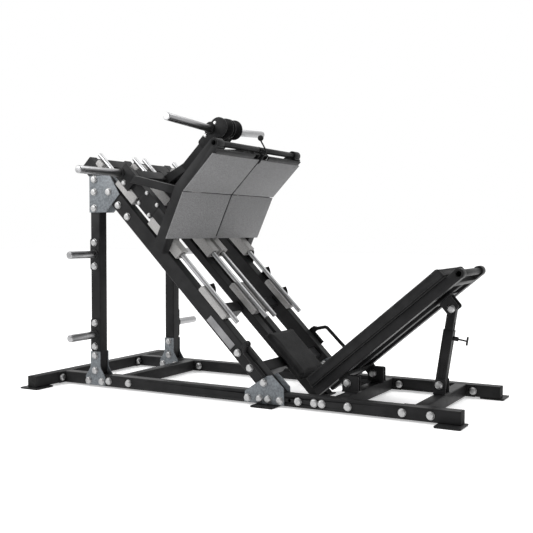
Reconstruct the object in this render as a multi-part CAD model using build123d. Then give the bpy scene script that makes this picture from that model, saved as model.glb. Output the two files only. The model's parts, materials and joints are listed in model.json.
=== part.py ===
from build123d import *
import math
import os

# Two-carriage 45 degree leg press. Millimetres, +Z up, +X from the weight end to the backrest,
# origin at the bottom centre of the whole machine, left side (the user's left) at negative Y.

# ---- driving dimensions ----
TUBE = 75.0                 # side of the main square tube
WALL = 3.0
PLATE = 8.0                 # laser-cut gusset thickness
PAD_T, SOLE_T = 4.0, 6.0    # rubber and steel thickness of a foot
REAR_X = -1398.0            # back face of the rear cross-member
RAIL_END = REAR_X + 2820.0
RAIL_Y = 424.0              # centre of each side rail, upright, outer beam and outer rod
INNER_Y = 56.0              # centre of each inner beam and inner rod
REAR_HALF = 724.0           # half length of the rear cross-member
UPRIGHT_X = REAR_X + 352.5
ROD_TOP = (REAR_X + 361.0, 1549.0)   # x, z of the guide rods' upper ends
ROD_R = 15.0
ROD_SPAN = (8.0, 1504.0)   # where the rods start and end along the slope
BEAM_TOP, OUTER_DEPTH, INNER_DEPTH = -50.0, 100.0, 50.0   # beam faces, square to the rods
HORN_R = 24.5
HORN_TILT = 3.0             # the loading horns rise outwards by this angle
CROSS_XS = (540.0, 2090.0, 2576.0)   # base cross-members behind the uprights, at the hinge, at the strut
CROSS_BOLT = 81.0           # bolt offset each side of a cross-member
CROSS_FLANGE, RAIL_FLANGE = 190.0, 180.0   # length of the bolted end flanges
SPARE_HOLE = (1800.0, 9.0)  # x and radius of the open hole through each side rail

# carriage, in the slope frame: s down along the rods, n square to them
BLOCKS = ((258.0, 187.0), (622.0, 308.0))   # start and length of the two bearing blocks on a rod
BLOCK_BOTTOM, BLOCK_TOP = -35.0, 32.0
CARRIAGE_S = (245.0, 800.0)
ARM_Y = 511.5
PANEL_Y = (8.0, 574.0)      # inner and outer edge of a footplate half
PANEL_T, FRAME_T = 6.0, 6.0
SEAM = 6.0                  # open joint between the upper and lower plate of one footplate
LIP = (2.0, 34.0)           # strip above a footplate, measured from its upper edge

# footplate profile: lower end, bend, upper end (x, z), front surface
FOOT_LOW = (REAR_X + 1002.0, 992.0)
FOOT_BEND = (REAR_X + 1129.0, 1280.0)
FOOT_HIGH = (REAR_X + 1342.0, 1501.0)
TOP_TUBE = (REAR_X + 1332.0, 1568.0)
TOP_TUBE_R, TOP_TUBE_BORE, EYE_OUTER = 19.0, 15.0, 30.0
HEAD = (REAR_X + 1023.0, 1712.0)
LOW_HORN = (REAR_X + 579.0, 1412.0)

# backrest: u along the pad, v down through it
PAD_CORNER = (REAR_X + 1785.0, 147.0)
PAD_ANGLE = 40.2
PAD_LENGTH, PAD_WIDTH = 1088.0, 508.0
PAD_V = (5.0, 72.0)         # top and underside of the cushion, square to its length
BOARD_T = 5.0
SPAR_Y, SPAR = 205.0, 60.0  # outer spars' centre and the side of their square tube
HINGE = (REAR_X + 2065.0, 138.0)
STRUT_LOW = (REAR_X + 2569.0, 140.0)
STRUT_HIGH = (REAR_X + 2636.0, 595.0)
PIN_R, RUN = 8.0, 0.05      # pivot pin radius and running clearance

K = math.sqrt(0.5)
RAIL_BOTTOM = PAD_T + SOLE_T
RAIL_Z = RAIL_BOTTOM + TUBE / 2
RAIL_TOP = RAIL_BOTTOM + TUBE
HALF = TUBE / 2
BOLT_R, BOLT_H = 22.0, 15.0

os.makedirs("parts", exist_ok=True)


# ---- frames and helpers ----
SLOPE = Plane(origin=(ROD_TOP[0], 0, ROD_TOP[1]), x_dir=(K, 0, -K), z_dir=(K, 0, K))
BACK_DIR = (math.cos(math.radians(PAD_ANGLE)), math.sin(math.radians(PAD_ANGLE)))
BACK = Plane(origin=(PAD_CORNER[0], 0, PAD_CORNER[1]),
             x_dir=(BACK_DIR[0], 0, BACK_DIR[1]), z_dir=(-BACK_DIR[1], 0, BACK_DIR[0]))


def save(name, *shapes):
    """Write one node: the given solids, flattened into one compound."""
    solids = [solid for shape in shapes for solid in shape.solids()]
    export_step(Compound(children=solids) if len(solids) > 1 else solids[0], f"parts/{name}.step")


def slope_point(s, n, y=0.0):
    return (ROD_TOP[0] + (s + n) * K, y, ROD_TOP[1] + (n - s) * K)


def span(x0, x1, y0, y1, z0, z1):
    """Box between limits, in whatever frame it is then placed."""
    return Pos((x0 + x1) / 2, (y0 + y1) / 2, (z0 + z1) / 2) * Box(x1 - x0, abs(y1 - y0), z1 - z0)


def tube(length, width, depth, wall=WALL):
    """Rectangular tube along +X from the origin, width in Y, depth in Z."""
    corner = min(width, depth) * 0.09
    profile = RectangleRounded(width, depth, corner)
    profile -= RectangleRounded(width - 2 * wall, depth - 2 * wall, max(corner - wall, 0.6))
    return extrude(Plane.YZ * profile, amount=length)


def member(p, q, width=TUBE, depth=TUBE, wall=WALL):
    """Square-cut tube from p to q; its depth lies in the XZ plane for runs in that plane."""
    run = Vector(*q) - Vector(*p)
    normal = (0, 0, 1) if abs(run.Y) > 1 else (-run.Z, 0, run.X)
    return Plane(origin=p, x_dir=run, z_dir=normal).location * tube(run.length, width, depth, wall)


def xz_plate(points, y0, y1):
    """Flat plate with the outline points (x, z), from y0 to y1."""
    face = make_face(Polyline(*[(x, 0, z) for x, z in points], close=True))
    return Pos(0, min(y0, y1), 0) * extrude(face, amount=abs(y1 - y0), dir=(0, 1, 0))


def y_rod(x, z, y0, y1, radius, bore=0.0):
    """Round bar or sleeve along Y."""
    bar = Plane.XZ.location * Cylinder(radius, abs(y1 - y0))
    if bore:
        bar -= Plane.XZ.location * Cylinder(bore, abs(y1 - y0) + 2)
    return Pos(x, (y0 + y1) / 2, z) * bar


def domed_cap():
    washer = Cylinder(BOLT_R + 2, 3, align=(Align.CENTER, Align.CENTER, Align.MIN))
    head = Cylinder(BOLT_R, BOLT_H - 3, align=(Align.CENTER, Align.CENTER, Align.MIN))
    head = fillet(head.edges().sort_by(Axis.Z)[-1], (BOLT_H - 3) * 0.75)
    return washer + Pos(0, 0, 3) * head


CAP = domed_cap()


def bolt(point, direction, scale=1.0):
    """Domed bolt cap standing on a face at point."""
    cap = CAP if scale == 1.0 else CAP.scale(scale)
    return Plane(origin=point, z_dir=direction).location * cap


def side_name(side):
    return "left" if side < 0 else "right"


# ---- base frame ----
def rear_crossmember():
    x = REAR_X + HALF
    save("rear_crossmember", member((x, -REAR_HALF, RAIL_Z), (x, REAR_HALF, RAIL_Z)))


def side_rail(side):
    start = REAR_X + TUBE
    y = side * RAIL_Y
    flange = span(start, start + PLATE, y - RAIL_FLANGE / 2, y + RAIL_FLANGE / 2, RAIL_BOTTOM, RAIL_TOP)
    rail = member((start + PLATE, y, RAIL_Z), (RAIL_END, y, RAIL_Z))
    return [rail - y_rod(REAR_X + SPARE_HOLE[0], RAIL_Z, y - TUBE, y + TUBE, SPARE_HOLE[1]), flange]


def base_crossmember(offset):
    x = REAR_X + offset
    inner = RAIL_Y - HALF
    half = CROSS_FLANGE / 2
    flanges = [span(x - half, x + half, side * inner, side * (inner - PLATE), RAIL_BOTTOM, RAIL_TOP)
               for side in (-1, 1)]
    return [member((x, PLATE - inner, RAIL_Z), (x, inner - PLATE, RAIL_Z))] + flanges


INNER_FOOT = (REAR_X + 1740, REAR_X + 1845, 110.0)
FOOT_SPOTS = [(REAR_X + 28, 676.0), (REAR_X + 1652, 464.0), (REAR_X + 2772, 464.0)]
FOOT_X, FOOT_Y = 150.0, 158.0


def feet():
    soles, pads = [], []
    for x, y in FOOT_SPOTS:
        for side in (-1, 1):
            sole = Pos(x, side * y, PAD_T + SOLE_T / 2) * Box(FOOT_X, FOOT_Y, SOLE_T)
            pads.append(Pos(x, side * y, PAD_T / 2) * Box(FOOT_X - 6, FOOT_Y - 6, PAD_T))
            soles.append(fillet(sole.edges().filter_by(Axis.Z), 10))
    x0, x1, y1 = INNER_FOOT
    soles.append(span(x0, x1, -y1, y1, PAD_T, RAIL_BOTTOM))
    pads.append(span(x0 + 3, x1 - 3, 3 - y1, y1 - 3, 0, PAD_T))
    save("foot_plates", *soles)
    save("foot_rubber_pads", *pads)


def cap_plug(plane, width, depth):
    """Plastic end cap: a cover plate and a plug that enters the tube behind it."""
    plug = Box(5, width - 2 * WALL - 1, depth - 2 * WALL - 1, align=(Align.MAX, Align.CENTER, Align.CENTER))
    plug = fillet(plug.edges().filter_by(Axis.X), 5)
    cover = Box(4, width, depth, align=(Align.MIN, Align.CENTER, Align.CENTER))
    cover = fillet(cover.edges().filter_by(Axis.X), 6)
    return plane.location * (cover + plug)


def end_caps():
    caps = []
    for side in (-1, 1):
        rail_end = Plane(origin=(RAIL_END, side * RAIL_Y, RAIL_Z), x_dir=(1, 0, 0), z_dir=(0, 0, 1))
        caps.append(cap_plug(rail_end, TUBE, TUBE))
        caps.append(cap_plug(Plane(origin=(REAR_X + HALF, side * REAR_HALF, RAIL_Z), x_dir=(0, side, 0),
                                   z_dir=(0, 0, 1)), TUBE, TUBE))
        for y, depth in ((RAIL_Y, OUTER_DEPTH), (INNER_Y, INNER_DEPTH)):
            at = slope_point(BEAM_START, BEAM_TOP - depth / 2, side * y)
            caps.append(cap_plug(Plane(origin=at, x_dir=(-K, 0, K), z_dir=(K, 0, K)), TUBE, depth))
    save("frame_end_caps", *caps)


# ---- uprights and sloped beams ----
BEAM_START = -15.0


def beam_zone(n_low):
    """Everything above a beam's lower face, for cutting what meets it from below."""
    return SLOPE.location * span(-600, 2600, -700, 700, n_low, n_low + 900)


def upright(side):
    y = side * RAIL_Y
    return member((UPRIGHT_X, y, RAIL_TOP), (UPRIGHT_X, y, 1500)) - beam_zone(BEAM_TOP - OUTER_DEPTH)


def beam(side, y, depth, foot_z):
    body = SLOPE.location * (Pos(BEAM_START, side * y, BEAM_TOP - depth / 2) * tube(2300, TUBE, depth))
    return body - span(REAR_X, RAIL_END, -800, 800, foot_z - 1200, foot_z)


def beams():
    save("outer_beams", *[beam(side, RAIL_Y, OUTER_DEPTH, RAIL_TOP) for side in (-1, 1)])
    save("inner_beams", *[beam(side, INNER_Y, INNER_DEPTH, RAIL_BOTTOM) for side in (-1, 1)])


TIES = ((-12.0, -125.0, BEAM_TOP), (1290.0, -150.0, -75.0), (1763.0, -150.0, -75.0))  # start s, n range
BRIDGE_S = (110.0, 710.0, 1310.0)


def beam_ties():
    """Short tubes that join each outer beam to the inner beam beside it."""
    outer_face, inner_face = RAIL_Y - HALF, INNER_Y + HALF
    ties = []
    for s, n_low, n_high in TIES:
        for side in (-1, 1):
            y_mid = side * (outer_face + inner_face) / 2
            middle = slope_point(s + HALF, (n_low + n_high) / 2, y_mid)
            local = Plane(origin=middle, x_dir=(0, 1, 0), z_dir=(K, 0, K))
            length = outer_face - inner_face
            ties.append(local.location * (Pos(-length / 2, 0, 0) * tube(length, TUBE, n_high - n_low)))
    half_gap = INNER_Y - HALF
    for s in BRIDGE_S:
        ties.append(SLOPE.location * span(s, s + 40, -half_gap, half_gap, -95, -55))
    save("beam_cross_ties", *ties)


def at_rear(points):
    return [(REAR_X + x, z) for x, z in points]


TOP_GUSSET = at_rear([(312, 1402), (312, 1160), (445, 1160), (560, 1278), (480, 1402)])
UPRIGHT_GUSSET = at_rear([(272, 14), (434, 14), (434, 72), (397, 128), (393, 150), (393, 238), (313, 238),
                          (313, 150), (309, 128), (272, 72)])
BEAM_GUSSET = at_rear([(1497, 14), (1503, 82), (1570, 128), (1650, 180),
                       (1684, 188), (1764, 116), (1768, 14)])


def gussets():
    outer, inner = RAIL_Y + HALF, RAIL_Y - HALF
    plates = []
    for outline in (TOP_GUSSET, UPRIGHT_GUSSET, BEAM_GUSSET):
        for side in (-1, 1):
            plates.append(xz_plate(outline, side * outer, side * (outer + PLATE)))
            plates.append(xz_plate(outline, side * inner, side * (inner - PLATE)))
    save("frame_gussets", *plates)


# ---- frame fasteners ----
RAIL_BOLT_XS = (1856.0, 1960.0)
BEAM_BOLT_S = (372.0, 477.0, 1647.0, 1768.0)
GUSSET_BOLTS = [(352, 1378), (352, 1294), (352, 1188), (472, 1294), (298, 42), (408, 42), (352, 112),
                (352, 212), (1522, 42), (1604, 42), (1661, 42), (1740, 42), (1630, 140)]
STORAGE_Z = (884.0, 350.0)


def through_bolts(spots, outer, inner):
    """Caps on the outer and inner face of both sides, at the (x, z) spots."""
    out = []
    for x, z in at_rear(spots):
        for side in (-1, 1):
            out.append(bolt((x, side * outer, z), (0, side, 0)))
            out.append(bolt((x, side * inner, z), (0, -side, 0)))
    return out


def frame_bolts():
    outer, inner = RAIL_Y + HALF, RAIL_Y - HALF
    cross = [(offset + d, RAIL_Z) for offset in CROSS_XS for d in (-CROSS_BOLT, CROSS_BOLT)]
    caps = through_bolts(cross, outer, inner - PLATE)
    for side in (-1, 1):
        caps += [bolt((REAR_X + x, side * outer, RAIL_Z), (0, side, 0)) for x in RAIL_BOLT_XS]
        for dy in (-64, 64):
            caps.append(bolt((REAR_X + TUBE + PLATE, side * RAIL_Y + dy, RAIL_Z), (1, 0, 0)))
            caps.append(bolt((REAR_X, side * RAIL_Y + dy, RAIL_Z), (-1, 0, 0)))
    caps += through_bolts(GUSSET_BOLTS, outer + PLATE, inner - PLATE)
    for s in BEAM_BOLT_S:
        x, _, z = slope_point(s, BEAM_TOP - OUTER_DEPTH + 37)
        caps += [bolt((x, side * outer, z), (0, side, 0)) for side in (-1, 1)]
    face = outer + PLATE
    for side in (-1, 1):
        caps += [bolt((UPRIGHT_X, side * face, z + dz), (0, side, 0)) for z in STORAGE_Z for dz in (-78, 78)]
    save("frame_bolts", *caps)


# ---- weight storage ----
HORN_CHAMFER = 4.0
STORAGE_COLLAR, STORAGE_HORN = 14.0, 236.0


def horn(x, z, side, y_base, collar, length, tilt=0.0):
    """Plate-loading horn that leaves the face at y_base: a sleeve with a chamfered end, and its collar."""
    sleeve = Cylinder(HORN_R, length, align=(Align.CENTER, Align.CENTER, Align.MIN))
    sleeve = chamfer(sleeve.edges().filter_by(GeomType.CIRCLE).sort_by(Axis.Z)[-1], HORN_CHAMFER)
    boss = Cylinder(HORN_R + 11, collar + 8, align=(Align.CENTER, Align.CENTER, Align.MAX))
    away = (0, side * math.cos(math.radians(tilt)), math.sin(math.radians(tilt)))
    free = Plane(origin=(x, side * (y_base + collar), z), z_dir=away).location
    wall = span(x - TUBE, x + TUBE, side * y_base, side * (y_base - TUBE), z - TUBE, z + TUBE)
    return free * sleeve, free * boss - wall


def storage():
    sleeves, mounts = [], []
    face = RAIL_Y + HALF
    for side in (-1, 1):
        for z in STORAGE_Z:
            sleeve, collar = horn(UPRIGHT_X, z, side, face + PLATE, STORAGE_COLLAR, STORAGE_HORN)
            flange = fillet(Box(TUBE - 4, PLATE, 206).edges().filter_by(Axis.Y), 12)
            mounts.append(Pos(UPRIGHT_X, side * (face + PLATE / 2), z) * flange + collar)
            sleeves.append(sleeve)
    save("storage_horns", *sleeves)
    save("storage_horn_flanges", *mounts)


# ---- guide rods and their supports ----
UPPER_BLOCK = (45.0, 55.0)
LOWER_BLOCK = (1183.0, 252.0)
SUPPORT_TOP = -12.0
SUPPORT_END_R = 8.0
ROD_YS = (-RAIL_Y, -INNER_Y, INNER_Y, RAIL_Y)


def rod_support(start, length, y):
    block = span(start, start + length, y - HALF + 1, y + HALF - 1, BEAM_TOP, SUPPORT_TOP)
    block = fillet(block.edges().filter_by(Axis.Y), SUPPORT_END_R)
    groove = Pos(start + length / 2, y, 0) * (Rot(0, 90, 0) * Cylinder(ROD_R, length + 10))
    return SLOPE.location * (block - groove)


def guide_rods():
    start, end = ROD_SPAN
    rods = []
    for y in ROD_YS:
        rod = Pos((start + end) / 2, y, 0) * (Rot(0, 90, 0) * Cylinder(ROD_R, end - start))
        rods.append(SLOPE.location * chamfer(rod.edges().filter_by(GeomType.CIRCLE), 2))
    save("guide_rods", *rods)
    save("rod_supports", *[rod_support(*place, y) for place in (UPPER_BLOCK, LOWER_BLOCK) for y in ROD_YS])


# ---- safety racks, handle and label ----
RACK_T = 7.0
TEETH = (922.0, 1110.0, 1305.0)   # starts of the teeth on the right beam
LEFT_TOOTH = 1212.0
HANDLE_PIVOT = (1657.0, -20.0)
HANDLE_R = 12.0
HANDLE_BOSS_R, BRACKET_T = 9.0, 6.0


def rack_plate(s_list, y0, y1):
    """Strip along the beam's flank with one hooked tooth above it at each s."""
    strip = span(min(s_list) - 30, max(s_list) + 76, y0, y1, BEAM_TOP - 22, BEAM_TOP)
    for s in s_list:
        hook = Polyline((s - 18, BEAM_TOP), (s - 26, -4), (s - 12, 24))
        crest = ThreePointArc((s - 12, 24), (s + 26, 8), (s + 52, -24))
        tail = Polyline((s + 52, -24), (s + 70, BEAM_TOP), (s - 18, BEAM_TOP))
        outline = hook + crest + tail
        tooth = extrude(Plane.XZ * make_face(outline), amount=abs(y1 - y0), dir=(0, 1, 0))
        strip += Pos(0, min(y0, y1), 0) * tooth
    return SLOPE.location * strip


def safety_racks():
    outer, inner = RAIL_Y + HALF, RAIL_Y - HALF
    right = rack_plate(TEETH, outer, outer + RACK_T)
    left = rack_plate((LEFT_TOOTH,), -inner, -(inner - RACK_T))
    save("safety_racks", right, left)


def handle_bracket(side):
    """Plate on the beam's outer flank with a boss that carries the safety handle."""
    face = RAIL_Y + HALF
    s, n = HANDLE_PIVOT
    plate = SLOPE.location * span(s - 24, s + 110, side * face, side * (face + BRACKET_T), n - 50, n - 8)
    x, _, z = slope_point(s, n)
    plate += y_rod(x, z, side * face, side * (face + BRACKET_T), 21)
    return plate + y_rod(x, z, side * (face + BRACKET_T), side * (face + 34), HANDLE_BOSS_R)


def safety_handles():
    """The right handle stands raised; the left one lies along its beam."""
    face = RAIL_Y + HALF
    s, n = HANDLE_PIVOT
    for side, route in ((1, [(0, 0), (46, 72), (270, 78)]), (-1, [(0, 0), (20, -46), (215, -46)])):
        near = face + BRACKET_T + 0.5
        y = side * (near + HANDLE_R)
        points = [slope_point(s + ds, n + dn, y) for ds, dn in route]
        path = FilletPolyline(*points, radius=28)
        bar = sweep(Plane(origin=points[0], z_dir=path % 0).location * Circle(HANDLE_R), path=path)
        x, _, z = slope_point(s, n)
        hub = y_rod(x, z, side * near, side * (near + 2 * HANDLE_R), 17)
        bore = y_rod(x, z, side * face, side * (face + 60), HANDLE_BOSS_R + RUN)
        save(f"{side_name(side)}_safety_handle", (bar + hub) - bore)
    save("handle_brackets", handle_bracket(-1), handle_bracket(1))


def label_plate():
    face = RAIL_Y + HALF
    plate = SLOPE.location * span(1358, 1600, -face - 2, -face, -137, -92)
    save("label_plate", plate)


# ---- seat ----
SEAT_S, SEAT_HALF = (1610.0, 1975.0), 170.0


def seat():
    plate_half = SEAT_HALF - 12
    save("seat_plate", SLOPE.location * span(*SEAT_S, -plate_half, plate_half, BEAM_TOP, BEAM_TOP + 6))
    cushion = span(SEAT_S[0], SEAT_S[1], -SEAT_HALF, SEAT_HALF, BEAM_TOP + 6, -2)
    cushion = fillet(cushion.edges().filter_by(Axis.Z), 22)
    cushion = fillet(cushion.edges().group_by(Axis.Z)[-1], 12)
    save("seat_cushion", SLOPE.location * cushion)


# ---- carriage ----
def unit(a, b):
    dx, dz = b[0] - a[0], b[1] - a[1]
    length = math.hypot(dx, dz)
    return dx / length, dz / length


LOW_DIR, HIGH_DIR = unit(FOOT_LOW, FOOT_BEND), unit(FOOT_BEND, FOOT_HIGH)
LOW_BACK, HIGH_BACK = (-LOW_DIR[1], LOW_DIR[0]), (-HIGH_DIR[1], HIGH_DIR[0])


def offset_profile(depth, below=0.0, above=0.0):
    """Footplate profile moved back by depth and lengthened at its ends, as three (x, z) points."""
    mix = 1 + LOW_BACK[0] * HIGH_BACK[0] + LOW_BACK[1] * HIGH_BACK[1]
    low = tuple(FOOT_LOW[i] + depth * LOW_BACK[i] - below * LOW_DIR[i] for i in (0, 1))
    bend = tuple(FOOT_BEND[i] + depth * (LOW_BACK[i] + HIGH_BACK[i]) / mix for i in (0, 1))
    high = tuple(FOOT_HIGH[i] + depth * HIGH_BACK[i] + above * HIGH_DIR[i] for i in (0, 1))
    return low, bend, high


def band(front, back, y0, y1, below=0.0, above=0.0):
    """Bent strip between two depths behind the footplate surface."""
    ahead, behind = offset_profile(front, below, above), offset_profile(back, below, above)
    return xz_plate(list(ahead) + list(reversed(behind)), y0, y1)


ARM_FRONT = PANEL_T + FRAME_T
ARM_BACK = ARM_FRONT + TUBE
BACK_BAR = 32.0              # width of a flat bar behind a footplate
ARM_BELOW = 160.0            # how far an arm runs below the footplate before it is trimmed


def leg_strip(start, direction, rear, run, depth, y0, y1):
    """Bar on one leg of the footplate profile, run along it from start and depth behind its surface."""
    corners = [(t, d) for t in run for d in (depth if t == run[0] else depth[::-1])]
    points = [tuple(start[i] + t * direction[i] + d * rear[i] for i in (0, 1)) for t, d in corners]
    return xz_plate(points, y0, y1)


def bent_arm(y, below, above):
    """Hollow bent arm behind the footplate."""
    shell = band(ARM_FRONT, ARM_BACK, y - HALF, y + HALF, below, above)
    core = band(ARM_FRONT + WALL, ARM_BACK - WALL, y - HALF + WALL, y + HALF - WALL, below + 5, above - WALL)
    return shell - core


def slope_box(s0, s1, y0, y1, n0, n1):
    return SLOPE.location * span(s0, s1, min(y0, y1), max(y0, y1), n0, n1)


def slope_tube(s0, s1, y, n0, n1, width=TUBE):
    return SLOPE.location * (Pos(s0, y, (n0 + n1) / 2) * tube(s1 - s0, width, n1 - n0))


RAIL_N = (BLOCK_TOP, BLOCK_TOP + TUBE)
BUSH_R = ROD_R + RUN + 7
BUSH_LENGTH = 60.0
SIDE_PLATE_S, SIDE_PLATE_N, SIDE_PLATE_T = (468.0, 616.0), (2.0, 122.0), 6.0
PLATE_BOLT_S, PLATE_BOLT_N = (485.0, 595.0), (18.0, 106.0)


def bearings(side):
    blocks, bushes = [], []
    for y in (side * RAIL_Y, side * INNER_Y):
        for start, length in BLOCKS:
            block = span(start, start + length, y - HALF + 1, y + HALF - 1, BLOCK_BOTTOM, BLOCK_TOP)
            block = fillet(block.edges().filter_by(Axis.X), 5)
            hole = Pos(start + length / 2, y, 0) * (Rot(0, 90, 0) * Cylinder(ROD_R + 2, length + 2))
            block -= hole
            for s in (start, start + length - BUSH_LENGTH):
                seat_bore = Rot(0, 90, 0) * Cylinder(BUSH_R, BUSH_LENGTH)
                block -= Pos(s + BUSH_LENGTH / 2, y, 0) * seat_bore
                bush = Cylinder(BUSH_R, BUSH_LENGTH) - Cylinder(ROD_R + RUN, BUSH_LENGTH + 2)
                bush = Rot(0, 90, 0) * bush
                bushes.append(SLOPE.location * (Pos(s + BUSH_LENGTH / 2, y, 0) * bush))
            blocks.append(SLOPE.location * block)
    save(f"{side_name(side)}_bearing_blocks", *blocks)
    save(f"{side_name(side)}_linear_bushes", *bushes)


def carriage_frame(side):
    pieces = [slope_tube(*CARRIAGE_S, side * y, *RAIL_N) for y in (RAIL_Y, INNER_Y)]
    gap = (INNER_Y + HALF, RAIL_Y - HALF)
    for s in (300.0, 700.0):
        mid = slope_point(s, sum(RAIL_N) / 2, side * sum(gap) / 2)
        local = Plane(origin=mid, x_dir=(0, 1, 0), z_dir=(K, 0, K))
        width = gap[1] - gap[0]
        pieces.append(local.location * (Pos(-width / 2, 0, 0) * tube(width, TUBE, TUBE)))
    face = side * (RAIL_Y + HALF)
    plate = slope_box(*SIDE_PLATE_S, face, face + side * SIDE_PLATE_T, *SIDE_PLATE_N)
    pieces.append(fillet(plate.edges().filter_by(Axis.Y), 10))
    save(f"{side_name(side)}_carriage_frame", *pieces)


def arms(side):
    name = side_name(side)
    below_beam = SLOPE.location * span(-600, 2600, -900, 900, -900, -45)
    over_tube = sum((TOP_TUBE[i] - FOOT_HIGH[i]) * HIGH_DIR[i] for i in (0, 1))
    hole = y_rod(*TOP_TUBE, side * (ARM_Y - TUBE), side * (ARM_Y + TUBE), TOP_TUBE_R)
    eye = y_rod(*TOP_TUBE, side * (ARM_Y - HALF), side * (ARM_Y + HALF), EYE_OUTER)
    spacer = slope_box(620, CARRIAGE_S[1], side * (RAIL_Y + HALF), side * (ARM_Y - HALF), *RAIL_N)
    outer = bent_arm(side * ARM_Y, ARM_BELOW, over_tube) - below_beam + eye
    save(f"{name}_outer_arm", outer - hole, spacer)
    over_rail = SLOPE.location * span(-600, 2600, -900, 900, -900, RAIL_N[1])
    inner = bent_arm(side * INNER_Y, ARM_BELOW, LIP[1]) - over_rail
    inner -= y_rod(*TOP_TUBE, side * (INNER_Y - TUBE), side * (INNER_Y + TUBE), TOP_TUBE_R)
    front_wall = (ARM_FRONT - 1, ARM_FRONT + WALL + 1)
    window = leg_strip(FOOT_HIGH, HIGH_DIR, HIGH_BACK, (LIP[0], LIP[1] - 4), front_wall,
                       side * (INNER_Y - HALF + 6), side * (INNER_Y + HALF - 6))
    save(f"{name}_inner_arm", inner - window)
    ends = side * (INNER_Y - HALF), side * (ARM_Y + HALF + 4)
    save(f"{name}_top_tube", y_rod(*TOP_TUBE, *ends, TOP_TUBE_R, TOP_TUBE_BORE))


def footplate(side):
    name = side_name(side)
    y0, y1 = side * PANEL_Y[0], side * PANEL_Y[1]
    front, back = offset_profile(0), offset_profile(PANEL_T)
    low = xz_plate([front[0], front[1], back[1], back[0]], y0, y1)
    high = xz_plate([front[1], front[2], back[2], back[1]], y0, y1)
    slit = Plane(origin=(FOOT_BEND[0], 0, FOOT_BEND[1]),
                 x_dir=(LOW_DIR[0] + HIGH_DIR[0], 0, LOW_DIR[1] + HIGH_DIR[1]),
                 z_dir=(LOW_BACK[0] + HIGH_BACK[0], 0, LOW_BACK[1] + HIGH_BACK[1]))
    cutter = slit.location * Box(SEAM, 1400, 60)
    save(f"{name}_footplates", low - cutter, high - cutter)
    bars = []
    inner, outer = side * (INNER_Y - HALF), side * (ARM_Y + HALF)
    for point, direction, rear, starts in ((FOOT_LOW, LOW_DIR, LOW_BACK, (12, 250)),
                                           (FOOT_BEND, HIGH_DIR, HIGH_BACK, (40, 275))):
        for t in starts:
            run = (t, t + BACK_BAR)
            bars.append(leg_strip(point, direction, rear, run, (PANEL_T, ARM_FRONT), inner, outer))
    beside_arm = side * (INNER_Y + HALF)
    lip = leg_strip(FOOT_HIGH, HIGH_DIR, HIGH_BACK, LIP, (0, ARM_FRONT), beside_arm, outer)
    save(f"{name}_footplate_bars", *bars, lip)


BRACE_KNEE = (REAR_X + 841.0, 1480.0)
HEAD_END = (REAR_X + 1082.0, 1721.0)
HEAD_S = 256.0               # the horn's distance up the brace from its knee
HEAD_PLATE_R = 46.0
HEAD_DISC, HEAD_DISC_R = (REAR_X + 1085.0, 1718.0), 66.0
HEAD_BOLTS = ((38.0, 36.0), (-37.0, -43.0))


def head(side):
    """Rear brace up to the head, with its foot, its tie to the arm and the head's side plates."""
    y = side * INNER_Y
    d = unit(BRACE_KNEE, HEAD_END)
    start = (BRACE_KNEE[0] - 36 * d[0], BRACE_KNEE[1] - 36 * d[1])
    upper = member((start[0], y, start[1]), (HEAD_END[0], y, HEAD_END[1]))
    foot = slope_point(330, RAIL_N[1] - 10)
    over_rail = SLOPE.location * span(-600, 2600, -900, 900, -900, RAIL_N[1])
    along = Plane(origin=(BRACE_KNEE[0], 0, BRACE_KNEE[1]), x_dir=(d[0], 0, d[1]), z_dir=(-d[1], 0, d[0]))
    lower = member((foot[0] - 20, y, foot[2] - 6), (BRACE_KNEE[0], y, BRACE_KNEE[1]), depth=60) - over_rail
    lower -= along.location * span(-36, 700, -900, 900, -HALF, HALF)
    pieces = [upper, lower]
    for y0, y1 in ((INNER_Y + HALF, INNER_Y + HALF + PLATE), (INNER_Y - HALF, INNER_Y - HALF - PLATE)):
        disc = y_rod(*HEAD, side * y0, side * y1, HEAD_PLATE_R)
        disc += y_rod(*HEAD_DISC, side * y0, side * y1, HEAD_DISC_R)
        tail = span(HEAD_S - 95, HEAD_S + 60, min(side * y0, side * y1), max(side * y0, side * y1),
                    -HALF, HEAD_PLATE_R)
        pieces.append(disc + fillet((along.location * tail).edges().filter_by(Axis.Y), 20))
    low = along.from_local_coords((HEAD_S - 120, y, -HALF - 0.01))
    arm_mid = offset_profile(ARM_BACK + 1, 0, -30)[2]
    tie = member((low.X - 40, y, low.Z + 10), (arm_mid[0] + 60, y, arm_mid[1]), BRACE_TUBE, BRACE_TUBE)
    tie -= along.location * span(-900, 900, -900, 900, -HALF, 900)
    pieces.append(tie - band(-200, ARM_BACK, y - 60, y + 60, 160, 90))
    save(f"{side_name(side)}_rear_brace", *pieces)


HORN_COLLAR = 12.0
UPPER_HORN, LOWER_HORN = 486.0, 398.0
BRACE_TUBE = 50.0
BRACKET_BOLT = (315.0, 34.0)
SMALL_BOLT = 0.55            # size of a small bolt as a share of a frame bolt


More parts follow.
